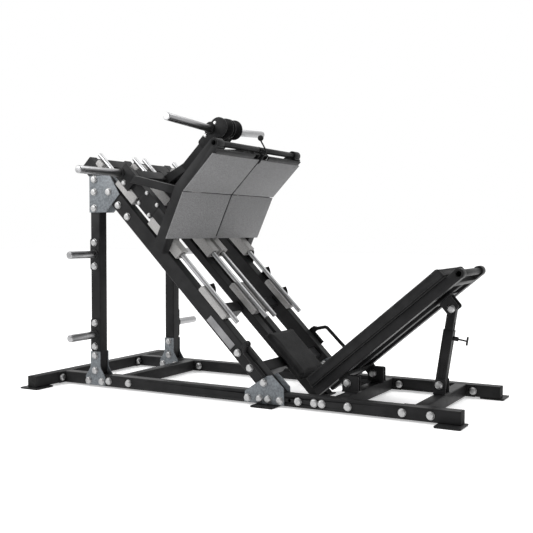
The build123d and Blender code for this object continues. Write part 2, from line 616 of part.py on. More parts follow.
def loading_horns(side):
    name = side_name(side)
    head_face = INNER_Y + HALF + PLATE
    bracket_face = ARM_Y - HALF + PLATE
    top_sleeve, top_collar = horn(*HEAD, side, head_face, HORN_COLLAR, UPPER_HORN, HORN_TILT)
    low_sleeve, low_collar = horn(*LOW_HORN, side, bracket_face, HORN_COLLAR, LOWER_HORN)
    save(f"{name}_loading_horns", top_sleeve, low_sleeve)
    plate = slope_box(236, 372, side * (RAIL_Y + HALF), side * bracket_face, 14, 128)
    y = side * (ARM_Y - 12)
    reach = slope_box(0, 372, side * 900, side * 400, -200, 140)
    start = slope_point(308.5, 75.5, y)
    bend = offset_profile(ARM_BACK + 0.5)[1]
    brace = member((start[0], y, start[2]), (bend[0] - 2, y, bend[1] - 42), BRACE_TUBE, BRACE_TUBE)
    brace = brace - reach - band(ARM_FRONT - 1, ARM_BACK, side * 380, side * 700, 160, 68)
    save(f"{name}_horn_brackets", plate + low_collar, top_collar, brace)


def carriage_bolts(side):
    caps = []
    face = side * (RAIL_Y + HALF + SIDE_PLATE_T)
    for s in PLATE_BOLT_S:
        for n in PLATE_BOLT_N:
            x, _, z = slope_point(s, n)
            caps.append(bolt((x, face, z), (0, side, 0), SMALL_BOLT))
    x, _, z = slope_point(*BRACKET_BOLT)
    caps.append(bolt((x, side * (ARM_Y - HALF + PLATE), z), (0, side, 0), 0.7))
    for dx, dz in HEAD_BOLTS:
        place = (HEAD[0] + dx, side * (INNER_Y + HALF + PLATE), HEAD[1] + dz)
        caps.append(bolt(place, (0, side, 0), SMALL_BOLT))
    save(f"{side_name(side)}_carriage_bolts", *caps)


def carriage(side):
    bearings(side)
    carriage_frame(side)
    arms(side)
    footplate(side)
    head(side)
    loading_horns(side)
    carriage_bolts(side)


# ---- coupling lever ----
def coupling_lever():
    """Bent rod with a ball knob, hinged on the left top tube's inner end, in the gap between the halves."""
    hub = y_rod(*TOP_TUBE, -6, 6, TOP_TUBE_R + 1)
    stub = y_rod(*TOP_TUBE, -(INNER_Y - HALF) - 12, -6, 8)
    low = (FOOT_HIGH[0] - 24 * HIGH_DIR[0], FOOT_HIGH[1] - 24 * HIGH_DIR[1])
    shoulder = (REAR_X + 1390.0, 1556.0)
    knob = (REAR_X + 1346.0, 1644.0)
    points = [(low[0] + 4, 0, low[1] - 4), (shoulder[0], 0, shoulder[1]), (knob[0], 0, knob[1] - 14)]
    path = FilletPolyline(*points, radius=16)
    bar = sweep(Plane(origin=points[0], z_dir=path % 0).location * Circle(5), path=path)
    spoke = xz_plate([(TOP_TUBE[0] + 14, TOP_TUBE[1] - 6), (shoulder[0] - 3, shoulder[1] - 8),
                      (shoulder[0] - 3, shoulder[1] + 6), (TOP_TUBE[0] + 14, TOP_TUBE[1] + 6)], -4, 4)
    save("coupling_lever", bar + hub + stub + spoke)
    ball = Pos(knob[0], 0, knob[1]) * Sphere(19)
    save("lever_knob", ball - bar)


# ---- backrest ----
def back_point(u, v):
    x = PAD_CORNER[0] + u * BACK_DIR[0] + v * BACK_DIR[1]
    return x, PAD_CORNER[1] + u * BACK_DIR[1] - v * BACK_DIR[0]


def back_box(u0, u1, y0, y1, v0, v1):
    return BACK.location * span(u0, u1, min(y0, y1), max(y0, y1), -v1, -v0)


def back_coords(x, z):
    dx, dz = x - PAD_CORNER[0], z - PAD_CORNER[1]
    return dx * BACK_DIR[0] + dz * BACK_DIR[1], dx * BACK_DIR[1] - dz * BACK_DIR[0]


SPAR_V = (PAD_V[1] + BOARD_T, PAD_V[1] + BOARD_T + SPAR)
SPAR_MID = sum(SPAR_V) / 2
HINGE_U, HINGE_V = back_coords(*HINGE)
TOP_U, TOP_V = back_coords(*STRUT_HIGH)
BAR_U, BAR_R = 1151.0, 21.0
LUG_HALF = 11.0
HINGE_PLATE_HALF = 36.0
CLEVIS_GAP = 27.0
LIGHT_BAR_U = (1072.0, 1106.0)


def hinge_lug(side):
    """Lug under an outer spar that swings on the hinge pin."""
    y0, y1 = side * (SPAR_Y - LUG_HALF), side * (SPAR_Y + LUG_HALF)
    lug = back_box(HINGE_U - 34, HINGE_U + 34, y0, y1, SPAR_V[1], HINGE_V) + y_rod(*HINGE, y0, y1, 24)
    return lug - y_rod(*HINGE, side * 150, side * 260, PIN_R + RUN)


def strut_clevis():
    """Base plate and two ears under the middle spar."""
    body = back_box(TOP_U - 60, TOP_U + 60, -75, 75, SPAR_V[1], SPAR_V[1] + 8)
    for side in (-1, 1):
        y0, y1 = side * CLEVIS_GAP, side * (CLEVIS_GAP + PLATE)
        ear = span(TOP_U - 40, TOP_U + 44, y0, y1, -TOP_V - 22, -SPAR_V[1] - 4)
        ear = BACK.location * fillet(ear.edges().filter_by(Axis.Y).sort_by(Axis.Z)[:2], 14)
        body += ear - y_rod(*STRUT_HIGH, side * 20, side * 60, PIN_R)
    return body


def backrest():
    cushion = span(0, PAD_LENGTH, -PAD_WIDTH / 2, PAD_WIDTH / 2, -PAD_V[1], -PAD_V[0])
    cushion = fillet(cushion.edges().filter_by(Axis.Z), 16)
    cushion = fillet(cushion.edges().group_by(Axis.Z)[-1], 12)
    save("backrest_cushion", BACK.location * cushion)
    board_half = PAD_WIDTH / 2 - 4
    save("backrest_board", back_box(4, PAD_LENGTH - 4, -board_half, board_half, PAD_V[1], SPAR_V[0]))
    pieces = []
    for side in (-1, 1):
        spar = Pos(6, side * SPAR_Y, -SPAR_MID) * tube(BAR_U - 6, SPAR, SPAR)
        spar = BACK.location * spar
        spar_faces = side * (SPAR_Y - SPAR / 2), side * (SPAR_Y + SPAR / 2)
        spar += y_rod(*back_point(BAR_U, SPAR_MID), *spar_faces, SPAR / 2)
        pieces.append(spar - y_rod(*back_point(BAR_U, SPAR_MID), side * 150, side * 260, BAR_R))
        pieces.append(hinge_lug(side))
    pieces.append(BACK.location * (Pos(6, 0, -SPAR_MID) * tube(LIGHT_BAR_U[0] - 6, SPAR, SPAR)))
    inner = SPAR_Y - SPAR / 2
    pieces.append(back_box(*LIGHT_BAR_U, -inner, inner, SPAR_V[1] - 34, SPAR_V[1]))
    hinge_plate = back_box(HINGE_U - HINGE_PLATE_HALF, HINGE_U + HINGE_PLATE_HALF,
                           LUG_HALF - SPAR_Y, SPAR_Y - LUG_HALF, SPAR_V[1], SPAR_V[1] + PLATE)
    pieces += [hinge_plate, strut_clevis()]
    save("backrest_frame", *pieces)
    half = SPAR_Y + SPAR / 2
    save("backrest_top_bar", y_rod(*back_point(BAR_U, SPAR_MID), -half - 1, half + 1, BAR_R, BAR_R - 4))
    edge = CLEVIS_GAP + PLATE
    save("strut_top_pin", *pivot_pin(*STRUT_HIGH, 0, edge))


EAR_GAP = 12.0
HINGE_EAR_TOP, STRUT_EAR_TOP = 182.0, 176.0


def clevis(x_pivot, z_pivot, x_ears, z_top, y, half_gap):
    """Two tall ears on a base plate that stands on a cross-member."""
    x0, x1 = x_ears
    body = span(x0, x1, y - half_gap - PLATE - 8, y + half_gap + PLATE + 8, RAIL_TOP, RAIL_TOP + PLATE)
    for sign in (-1, 1):
        y0, y1 = y + sign * half_gap, y + sign * (half_gap + PLATE)
        ear = span(x_pivot, x1, min(y0, y1), max(y0, y1), RAIL_TOP + 4, z_top)
        ear = fillet(ear.edges().filter_by(Axis.Y).group_by(Axis.X)[-1].sort_by(Axis.Z)[-1], 12)
        ear += span(x0, x_pivot, min(y0, y1), max(y0, y1), RAIL_TOP + 4, z_pivot)
        body += ear + y_rod(x_pivot, z_pivot, y0, y1, x_pivot - x0)
    return body


def pivot_pin(x, z, y, half):
    return [y_rod(x, z, y - half, y + half, PIN_R),
            bolt((x, y - half, z), (0, -1, 0)),
            bolt((x, y + half, z), (0, 1, 0))]


def floor_pivots():
    brackets, pins = [], []
    for side in (-1, 1):
        body = clevis(*HINGE, (HINGE[0] - 32, HINGE[0] + 72), HINGE_EAR_TOP, side * SPAR_Y, EAR_GAP)
        brackets.append(body - y_rod(*HINGE, side * 100, side * 300, PIN_R))
        pins += pivot_pin(*HINGE, side * SPAR_Y, EAR_GAP + PLATE)
    half_gap = OUTER_W / 2 + 0.5
    foot = clevis(*STRUT_LOW, (STRUT_LOW[0] - 34, STRUT_LOW[0] + 40), STRUT_EAR_TOP, 0, half_gap)
    brackets.append(foot - y_rod(*STRUT_LOW, -60, 60, PIN_R))
    pins += pivot_pin(*STRUT_LOW, 0, half_gap + PLATE)
    save("floor_pivot_brackets", *brackets)
    save("floor_pivot_pins", *pins)


# ---- telescopic strut ----
STRUT_D = unit(STRUT_LOW, STRUT_HIGH)
STRUT_LENGTH = math.hypot(STRUT_HIGH[0] - STRUT_LOW[0], STRUT_HIGH[1] - STRUT_LOW[1])
STRUT = Plane(origin=(STRUT_LOW[0], 0, STRUT_LOW[1]), x_dir=(STRUT_D[0], 0, STRUT_D[1]),
              z_dir=(-STRUT_D[1], 0, STRUT_D[0]))
OUTER_W, INNER_W, STRUT_WALL = 60.0, 50.0, 4.0
OUTER_TOP, INNER_START = 331.0, 165.0
POP_AT = 285.0
EYE_R = 15.0


def strut():
    lower = STRUT.location * (Pos(-26, 0, 0) * tube(OUTER_TOP + 26, OUTER_W, OUTER_W, STRUT_WALL))
    lower -= y_rod(*STRUT_LOW, -40, 40, PIN_R + RUN)
    pop_hole = Cylinder(6.0, 40)
    lower -= STRUT.location * (Pos(POP_AT, 0, -OUTER_W / 2) * pop_hole)
    barrel = Cylinder(13, 30, align=(Align.CENTER, Align.CENTER, Align.MAX)) - Cylinder(5 + 0.1, 90)
    save("strut_lower_tube", lower, STRUT.location * (Pos(POP_AT, 0, -OUTER_W / 2) * barrel))
    inner_length = STRUT_LENGTH + 24 - INNER_START
    upper = STRUT.location * (Pos(INNER_START, 0, 0) * tube(inner_length, INNER_W, INNER_W))
    upper -= y_rod(*STRUT_HIGH, -40, 40, EYE_R)
    slot = span(POP_AT - 76, POP_AT + 95, -7, 7, -INNER_W / 2 - 5, -INNER_W / 2 + 5)
    save("strut_inner_tube", upper - STRUT.location * slot)
    plunger = Cylinder(5, 100, align=(Align.CENTER, Align.CENTER, Align.MAX))
    grip = Pos(0, 0, -100) * (Rot(0, 90, 0) * Cylinder(6, 50))
    pin = Pos(POP_AT, 0, -OUTER_W / 2 + 16) * (plunger + grip)
    save("pop_pin", STRUT.location * pin)


def build():
    rear_crossmember()
    save("side_rails", *side_rail(-1), *side_rail(1))
    save("base_crossmembers", *[piece for offset in CROSS_XS for piece in base_crossmember(offset)])
    save("uprights", upright(-1), upright(1))
    feet()
    end_caps()
    beams()
    beam_ties()
    gussets()
    frame_bolts()
    storage()
    guide_rods()
    safety_racks()
    safety_handles()
    label_plate()
    seat()
    carriage(-1)
    carriage(1)
    coupling_lever()
    backrest()
    floor_pivots()
    strut()


build()
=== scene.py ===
import json
import math
import random

import bmesh
import bpy
from mathutils import Matrix, Vector
from mathutils.bvhtree import BVHTree


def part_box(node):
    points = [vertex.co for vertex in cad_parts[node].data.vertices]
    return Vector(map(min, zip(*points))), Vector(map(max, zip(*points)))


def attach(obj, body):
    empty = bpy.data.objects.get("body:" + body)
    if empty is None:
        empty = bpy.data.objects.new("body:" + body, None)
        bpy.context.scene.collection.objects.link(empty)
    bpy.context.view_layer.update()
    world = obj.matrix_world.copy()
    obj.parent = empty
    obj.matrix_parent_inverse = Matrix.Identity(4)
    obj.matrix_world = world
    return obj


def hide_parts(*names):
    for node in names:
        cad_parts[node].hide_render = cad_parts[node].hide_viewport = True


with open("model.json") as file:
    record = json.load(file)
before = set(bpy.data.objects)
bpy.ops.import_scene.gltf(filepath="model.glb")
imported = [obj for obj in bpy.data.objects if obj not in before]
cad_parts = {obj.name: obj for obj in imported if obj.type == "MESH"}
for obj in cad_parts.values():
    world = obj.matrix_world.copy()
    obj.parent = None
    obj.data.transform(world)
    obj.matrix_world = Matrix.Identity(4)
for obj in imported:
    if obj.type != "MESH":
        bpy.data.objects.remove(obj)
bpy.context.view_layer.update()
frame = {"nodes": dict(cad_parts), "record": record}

NODES = frame["nodes"]
MM = 0.001
random.seed(7)

# ---- camera ----
CAMERA_AT = Vector((2.7284, -5.0062, 1.0500))
CAMERA_YAW, CAMERA_PITCH, CAMERA_ROLL = 0.499895, 0.049145, 0.00284
LENS, SENSOR, SHIFT_Y = 59.16, 36.0, 0.0118
FARTHEST = 60


def place_camera():
    yaw, pitch = CAMERA_YAW, CAMERA_PITCH
    level = math.cos(pitch)
    forward = Vector((-math.sin(yaw) * level, math.cos(yaw) * level, -math.sin(pitch)))
    right = Vector((math.cos(yaw), math.sin(yaw), 0))
    up = right.cross(forward)
    c, s = math.cos(CAMERA_ROLL), math.sin(CAMERA_ROLL)
    right, up = c * right + s * up, c * up - s * right
    data = bpy.data.cameras.new("camera")
    data.lens, data.sensor_width, data.shift_y = LENS, SENSOR, SHIFT_Y
    data.clip_end = FARTHEST
    camera = bpy.data.objects.new("camera", data)
    bpy.context.collection.objects.link(camera)
    turn = Matrix((right, up, -forward)).transposed().to_4x4()
    camera.matrix_world = Matrix.Translation(CAMERA_AT) @ turn
    bpy.context.scene.camera = camera


# ---- surroundings ----
VIEWER_SIDE = (0.44, -0.82, -0.25)      # the room is darkest in this direction
WHITE_WALL, DARK_WALL = (1, 1, 1, 1), (0.20, 0.20, 0.205, 1)
DARKENS_FROM, DARKEST_AT = 0.42, 0.80   # shares of the way to that direction
LIGHTS = (                              # name, place, aim, length of a side, watts
    ("key", (-2.6, -3.4, 3.1), (0, 0, 0.8), 2.4, 135),
    ("top", (0.6, 0.8, 4.6), (0, 0, 0.6), 3.2, 95),
    ("low_fill", (3.6, -2.0, 0.9), (0.4, 0, 0.7), 1.6, 8),
)
FLOOR_HALF, FLOOR_DROP, FLOOR_GLOW = 30, 0.0005, 0.42


def area_light(name, at, aim, size, power):
    data = bpy.data.lights.new(name, "AREA")
    data.shape, data.size, data.energy = "SQUARE", size, power
    light = bpy.data.objects.new(name, data)
    bpy.context.collection.objects.link(light)
    light.location = at
    light.rotation_euler = (Vector(aim) - Vector(at)).to_track_quat("-Z", "Y").to_euler()


def white_room():
    """White all round, darkening towards the viewer's side."""
    world = bpy.data.worlds.new("studio")
    bpy.context.scene.world = world
    world.use_nodes = True
    tree = world.node_tree
    sky = tree.nodes["Background"]
    where = tree.nodes.new("ShaderNodeTexCoord")
    facing = tree.nodes.new("ShaderNodeVectorMath")
    facing.operation = "DOT_PRODUCT"
    facing.inputs[1].default_value = VIEWER_SIDE
    share = tree.nodes.new("ShaderNodeMath")
    share.operation = "MULTIPLY_ADD"
    share.inputs[1].default_value = share.inputs[2].default_value = 0.5
    ramp = tree.nodes.new("ShaderNodeValToRGB")
    first, last = ramp.color_ramp.elements
    first.position, first.color = DARKENS_FROM, WHITE_WALL
    last.position, last.color = DARKEST_AT, DARK_WALL
    tree.links.new(where.outputs["Generated"], facing.inputs[0])
    tree.links.new(facing.outputs["Value"], share.inputs[0])
    tree.links.new(share.outputs[0], ramp.inputs[0])
    tree.links.new(ramp.outputs["Color"], sky.inputs["Color"])
    sky.inputs["Strength"].default_value = 1.0


def pale_floor():
    """Matt floor that glows a little, so that it runs into the white wall without a band."""
    mesh = bpy.data.meshes.new("floor")
    h = FLOOR_HALF
    mesh.from_pydata([(-h, -h, 0), (h, -h, 0), (h, h, 0), (-h, h, 0)], [], [(0, 1, 2, 3)])
    floor = bpy.data.objects.new("floor", mesh)
    bpy.context.collection.objects.link(floor)
    floor.location.z = -FLOOR_DROP
    paint = Finish("floor", (0.93, 0.93, 0.93), 0.7, specular=0.2)
    paint.grain(6, 0.02, 0.001)
    paint.shader.inputs["Emission Color"].default_value = (1, 1, 1, 1)
    paint.shader.inputs["Emission Strength"].default_value = FLOOR_GLOW
    mesh.materials.append(paint.material)


def surroundings():
    white_room()
    for light in LIGHTS:
        area_light(*light)
    pale_floor()
    bpy.context.scene.view_settings.view_transform = "Standard"


# ---- finishes ----
class Finish:
    """A procedural material: base shader plus layers of colour, roughness and bump."""

    def __init__(self, name, color, roughness, metallic=0.0, specular=0.5):
        self.material = bpy.data.materials.new(name)
        self.material.use_nodes = True
        self.tree = self.material.node_tree
        self.shader = self.tree.nodes["Principled BSDF"]
        self.color = color
        self.shader.inputs["Base Color"].default_value = (*color, 1)
        self.shader.inputs["Roughness"].default_value = roughness
        self.shader.inputs["Metallic"].default_value = metallic
        self.shader.inputs["Specular IOR Level"].default_value = specular
        self.roughness = roughness
        self.bump_end = None
        self.coords = self.node("ShaderNodeTexCoord").outputs["Object"]

    def node(self, kind):
        return self.tree.nodes.new(kind)

    def noise(self, scale, detail=3.0, stretch=None):
        source = self.coords
        if stretch:
            mapping = self.node("ShaderNodeMapping")
            mapping.inputs["Scale"].default_value = stretch
            self.tree.links.new(source, mapping.inputs["Vector"])
            source = mapping.outputs["Vector"]
        made = self.node("ShaderNodeTexNoise")
        made.inputs["Scale"].default_value = scale
        made.inputs["Detail"].default_value = detail
        self.tree.links.new(source, made.inputs["Vector"])
        return made.outputs["Fac"]

    def cells(self, scale):
        made = self.node("ShaderNodeTexVoronoi")
        made.inputs["Scale"].default_value = scale
        self.tree.links.new(self.coords, made.inputs["Vector"])
        return made.outputs["Distance"]

    def ramp(self, value, low, high, dark, light):
        made = self.node("ShaderNodeValToRGB")
        made.color_ramp.elements[0].position = low
        made.color_ramp.elements[0].color = (*dark, 1)
        made.color_ramp.elements[1].position = high
        made.color_ramp.elements[1].color = (*light, 1)
        self.tree.links.new(value, made.inputs[0])
        return made.outputs["Color"]

    def mottle(self, value, spread, low=0.35, high=0.65):
        """Base colour varies by the given share about its mean."""
        dark = tuple(c * (1 - spread) for c in self.color)
        light = tuple(min(1, c * (1 + spread)) for c in self.color)
        shade = self.ramp(value, low, high, dark, light)
        self.tree.links.new(shade, self.shader.inputs["Base Color"])

    def patchy(self, value, spread):
        """Roughness varies about its mean."""
        span = self.node("ShaderNodeMapRange")
        span.inputs["To Min"].default_value = self.roughness - spread
        span.inputs["To Max"].default_value = self.roughness + spread
        self.tree.links.new(value, span.inputs["Value"])
        self.tree.links.new(span.outputs["Result"], self.shader.inputs["Roughness"])

    def bump(self, value, strength, depth):
        made = self.node("ShaderNodeBump")
        made.inputs["Strength"].default_value = strength
        made.inputs["Distance"].default_value = depth
        self.tree.links.new(value, made.inputs["Height"])
        if self.bump_end:
            self.tree.links.new(self.bump_end, made.inputs["Normal"])
        self.bump_end = made.outputs["Normal"]
        self.tree.links.new(self.bump_end, self.shader.inputs["Normal"])

    def grain(self, scale, strength, depth, detail=2.0, stretch=None):
        self.bump(self.noise(scale, detail, stretch), strength, depth)


def powder_coat(name, color, roughness=0.40, specular=0.06):
    """Satin powder coat: fine orange peel and faint handling marks."""
    coat = Finish(name, color, roughness, specular=specular)
    coat.mottle(coat.noise(9, 4), 0.18)
    coat.patchy(coat.noise(35, 5), 0.07)
    coat.grain(420, 0.16, 0.0005)
    return coat.material


def plated(name, color, roughness):
    """Bright zinc or chrome with faint hazing."""
    metal = Finish(name, color, roughness, metallic=1.0)
    metal.mottle(metal.noise(60, 4), 0.07)
    metal.patchy(metal.noise(150, 4), 0.06)
    metal.grain(900, 0.02, 0.0001)
    return metal.material


def turned_steel(name, color, roughness):
    """Horn sleeve: fine rings round its axis and hazy bands where plates rub."""
    metal = Finish(name, color, roughness, metallic=1.0)
    metal.mottle(metal.noise(22, 4, (1, 6, 1)), 0.06)
    metal.patchy(metal.noise(40, 4, (1, 8, 1)), 0.05)
    metal.grain(30, 0.02, 0.0001, 2, (1, 60, 1))
    return metal.material


def textured_aluminium():
    """Pale speckled bearing blocks and rod supports."""
    cast = Finish("block_aluminium", (0.30, 0.295, 0.29), 0.55, metallic=0.3, specular=0.3)
    cast.mottle(cast.noise(300, 4), 0.22)
    cast.patchy(cast.noise(120, 4), 0.1)
    cast.grain(520, 0.35, 0.0007, 4)
    return cast.material


def gritty_plate():
    """Footplate: grey coat over a close pattern of small raised studs."""
    plate = Finish("plate_grey", (0.158, 0.158, 0.160), 0.6, specular=0.15)
    studs = plate.cells(165)
    plate.mottle(studs, 0.30, 0.15, 0.6)
    plate.patchy(plate.noise(20, 4), 0.06)
    plate.bump(studs, 0.55, 0.0012)
    plate.grain(900, 0.25, 0.0004)
    return plate.material


def gusset_paint():
    """Flecked grey-blue paint."""
    paint = Finish("gusset_grey", (0.135, 0.147, 0.158), 0.45, metallic=0.1, specular=0.25)
    paint.mottle(paint.noise(75, 6), 0.26)
    paint.patchy(paint.noise(60, 4), 0.08)
    paint.grain(650, 0.18, 0.0004)
    return paint.material


def vinyl():
    """Upholstery vinyl: pebbled grain with shallow creases."""
    skin = Finish("cushion_black", (0.0175, 0.0175, 0.0180), 0.55, specular=0.06)
    skin.mottle(skin.noise(14, 4), 0.2)
    skin.patchy(skin.noise(50, 5), 0.07)
    skin.bump(skin.cells(520), 0.30, 0.0007)
    skin.grain(45, 0.12, 0.002, 4)
    return skin.material


def rubber(name, color=(0.018, 0.018, 0.018)):
    soft = Finish(name, color, 0.72, specular=0.12)
    soft.mottle(soft.noise(80, 4), 0.25)
    soft.grain(600, 0.3, 0.0005)
    return soft.material


def plywood_black():
    """Black-stained board with a faint level grain."""
    board = Finish("board_black", (0.012, 0.012, 0.012), 0.65, specular=0.25)
    board.mottle(board.noise(30, 4, (1, 1, 8)), 0.3)
    board.grain(120, 0.2, 0.0006, 3, (1, 1, 8))
    return board.material


FINISHES = {
    "frame_black": powder_coat("frame_black", (0.0185, 0.0185, 0.019)),
    "gusset_grey": gusset_paint(),
    "bolt_zinc": plated("bolt_zinc", (0.40, 0.40, 0.40), 0.42),
    "horn_chrome": turned_steel("horn_chrome", (0.34, 0.34, 0.345), 0.36),
    "rod_chrome": plated("rod_chrome", (0.40, 0.40, 0.405), 0.40),
    "block_aluminium": textured_aluminium(),
    "bush_plastic": rubber("bush_plastic", (0.03, 0.03, 0.03)),
    "plate_grey": gritty_plate(),
    "rubber_black": rubber("rubber_black"),
    "cap_plastic": rubber("cap_plastic", (0.014, 0.014, 0.014)),
    "label_grey": powder_coat("label_grey", (0.21, 0.21, 0.215), 0.45),
    "cushion_black": vinyl(),
    "board_black": plywood_black(),
    "pin_black": powder_coat("pin_black", (0.012, 0.012, 0.0125), 0.36, 0.12),
}
WELD_BLACK = powder_coat("weld_black", (0.010, 0.010, 0.0105), 0.46)
STITCH = rubber("stitch_thread", (0.03, 0.03, 0.03))


# ---- the CAD nodes that stay ----
EDGE, EDGE_ANGLE = 1.4 * MM, math.radians(32)
JOIN_GAP = 1e-5
SOFT_NODES = ("seat_cushion", "backrest_cushion")


def dress_frame():
    """Finish and softened edges for every CAD node that isn't a cushion."""
    slots = {row["node"]: row["material_slot"] for row in frame["record"]["subparts"]}
    for name, obj in NODES.items():
        if name in SOFT_NODES:
            continue
        finish = FINISHES[slots[name]]
        if not obj.material_slots:
            obj.data.materials.append(finish)
        for slot in obj.material_slots:
            slot.link = "OBJECT"
            slot.material = finish
        for face in obj.data.polygons:
            face.use_smooth = True
        join = obj.modifiers.new("join", "WELD")
        join.merge_threshold = JOIN_GAP
        edge = obj.modifiers.new("edge", "BEVEL")
        edge.width, edge.segments, edge.limit_method = EDGE, 2, "ANGLE"
        edge.angle_limit = EDGE_ANGLE
        edge.harden_normals = True


# ---- small made pieces ----
def mesh_object(name, bm, finish, body):
    mesh = bpy.data.meshes.new(name)
    bm.normal_update()
    bm.to_mesh(mesh)
    bm.free()
    mesh.materials.append(finish)
    for face in mesh.polygons:
        face.use_smooth = True
    obj = bpy.data.objects.new(name, mesh)
    bpy.context.collection.objects.link(obj)
    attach(obj, body)
    return obj


def resample(points, step):
    """Closed polyline divided into even steps."""
    out = []
    count = len(points)
    for i in range(count):
        a, b = points[i], points[(i + 1) % count]
        parts = max(1, round((b - a).length / step))
        out += [a.lerp(b, k / parts) for k in range(parts)]
    return out


TUBE_SIDES = 8
TUBE_REFERENCE = Vector((0.31, 0.22, 0.93))   # no loop runs along it
SCALLOP_TURN, SCALLOP_CHANCE = 2.1, 0.4


def tube_loop(bm, points, radius, ripple=0.0):
    """Closed tube through points; ripple swells it in scallops like a weld bead."""
    count = len(points)
    rings = []
    for i, p in enumerate(points):
        run = (points[(i + 1) % count] - points[i - 1]).normalized()
        side = run.cross(TUBE_REFERENCE).normalized()
        up = side.cross(run)
        chance = random.uniform(-SCALLOP_CHANCE, SCALLOP_CHANCE)
        r = radius * (1 + ripple * (math.sin(i * SCALLOP_TURN) + chance))
        rings.append([bm.verts.new(p + r * (math.cos(a) * side + math.sin(a) * up))
                      for a in (2 * math.pi * k / TUBE_SIDES for k in range(TUBE_SIDES))])
    for i in range(count):
        a, b = rings[i], rings[(i + 1) % count]
        for k in range(TUBE_SIDES):
            after = (k + 1) % TUBE_SIDES
            bm.faces.new((a[k], a[after], b[after], b[k]))


def rounded_rectangle(center, u, v, half_u, half_v, corner, steps=6):
    """Points round a rectangle with half sides half_u along u and half_v along v."""
    points = []
    for su, sv, start in ((1, 1, 0), (-1, 1, 90), (-1, -1, 180), (1, -1, 270)):
        for k in range(steps + 1):
            a = math.radians(start + 90 * k / steps)
            points.append(center + u * (su * (half_u - corner) + corner * math.cos(a))
                          + v * (sv * (half_v - corner) + corner * math.sin(a)))
    return points


# ---- weld beads ----
WELD_R = 2.6 * MM
CARRIAGE_WELD = 0.9         # a carriage bead's size against a frame bead's
BEAD_STEP, BEAD_CORNER, BEAD_RIPPLE = 2.4 * MM, 6 * MM, 0.22
FOOT_BAND = 2 * MM          # a beam's vertices this near its lowest one outline its foot
BLOCK_INSET = 1.0 * MM      # a bearing block is narrower than its rail by this much a side
CROSS_FROM_TOP, CROSS_PITCH = 0.055, 0.400   # cross tubes' centres from the rails' upper ends
K = math.sqrt(0.5)
X, Y = Vector((1, 0, 0)), Vector((0, 1, 0))
DOWN_SLOPE, OFF_SLOPE = Vector((K, 0, -K)), Vector((K, 0, K))


def along(node, direction):
    """Lowest and highest reach of a node along a direction."""
    reach = [v.co.dot(direction) for v in NODES[node].data.vertices]
    return min(reach), max(reach)


def half_tube():
    low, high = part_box("rear_crossmember")
    return (high.x - low.x) / 2


HALF = half_tube()


def bead(bm, center, u, v, half_u, half_v, radius=WELD_R):
    """Scalloped bead round a rectangular joint."""
    loop = rounded_rectangle(center, u, v, half_u, half_v, BEAD_CORNER)
    tube_loop(bm, resample(loop, BEAD_STEP), radius, BEAD_RIPPLE)


def frame_welds():
    """Beads where the uprights and the outer beams stand on the side rails."""
    rail_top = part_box("side_rails")[1].z
    low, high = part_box("uprights")
    rail_y = high.y - HALF
    bm = bmesh.new()
    for side in (-1, 1):
        bead(bm, Vector(((low.x + high.x) / 2, side * rail_y, rail_top)), X, Y, HALF, HALF)
    beam_points = [v.co for v in NODES["outer_beams"].data.vertices]
    lowest = min(p.z for p in beam_points)
    feet = [p.x for p in beam_points if p.z < lowest + FOOT_BAND]
    for side in (-1, 1):
        center = Vector(((min(feet) + max(feet)) / 2, side * rail_y, rail_top))
        bead(bm, center, X, Y, (max(feet) - min(feet)) / 2, HALF)
    mesh_object("frame_welds", bm, WELD_BLACK, "frame")


def carriage_welds(side, name):
    """Beads where a carriage's two cross tubes meet its rails."""
    blocks = f"{name}_bearing_blocks"
    top = along(f"{name}_carriage_frame", DOWN_SLOPE)[0]
    rail_mid = along(blocks, OFF_SLOPE)[1] + HALF
    box_low, box_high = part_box(blocks)
    inner, outer = sorted(abs(y) for y in (box_low.y, box_high.y))
    bm = bmesh.new()
    for s in (top + CROSS_FROM_TOP, top + CROSS_FROM_TOP + CROSS_PITCH):
        for y in (inner - BLOCK_INSET + 2 * HALF, outer + BLOCK_INSET - 2 * HALF):
            center = DOWN_SLOPE * s + OFF_SLOPE * rail_mid + Y * (side * y)
            bead(bm, center, DOWN_SLOPE, OFF_SLOPE, HALF, HALF - WELD_R, WELD_R * CARRIAGE_WELD)
    mesh_object(f"{name}_carriage_welds", bm, WELD_BLACK, f"{name}_carriage")


# ---- upholstery ----
BACK_ANGLE, SEAT_ANGLE = math.radians(40.2), math.radians(-45)   # turns that lay a pad flat
BACK_CORNER, SEAT_CORNER = 18 * MM, 24 * MM
SWELL_CAP, PRESSURE = 7 * MM, 3.0
FACE_EDGE, EDGE_STEPS, LEAST_CORNER = 12 * MM, 4, 3 * MM
VOXEL = 6 * MM
HELD_HEIGHT = 4 * MM        # the cover is held on its board up to here
CLOTH_QUALITY, CLOTH_MASS, CLOTH_FRAMES = 4, 0.3, 20
SPREAD = 2 * MM             # how far a pad may pass its CAD solid
SEAM_STEP, PROBE_OUT, PROBE_IN = 8 * MM, 0.05, 0.04
WELT_DROP, WELT_R = 15 * MM, 2.4 * MM
SEAM_RISE, SEAM_R, SEAM_RIPPLE = 9 * MM, 1.1 * MM, 0.25


def clamp(value, low, high):
    return min(max(value, low), high)


def pad_frame(node, angle):
    """Turn that lays the pad flat: x along it, z out of its face; and its box there."""
    turn = Matrix.Rotation(angle, 4, "Y")
    points = [turn @ v.co for v in NODES[node].data.vertices]
    low = Vector([min(p[i] for p in points) for i in range(3)])
    high = Vector([max(p[i] for p in points) for i in range(3)])
    return turn, low, high


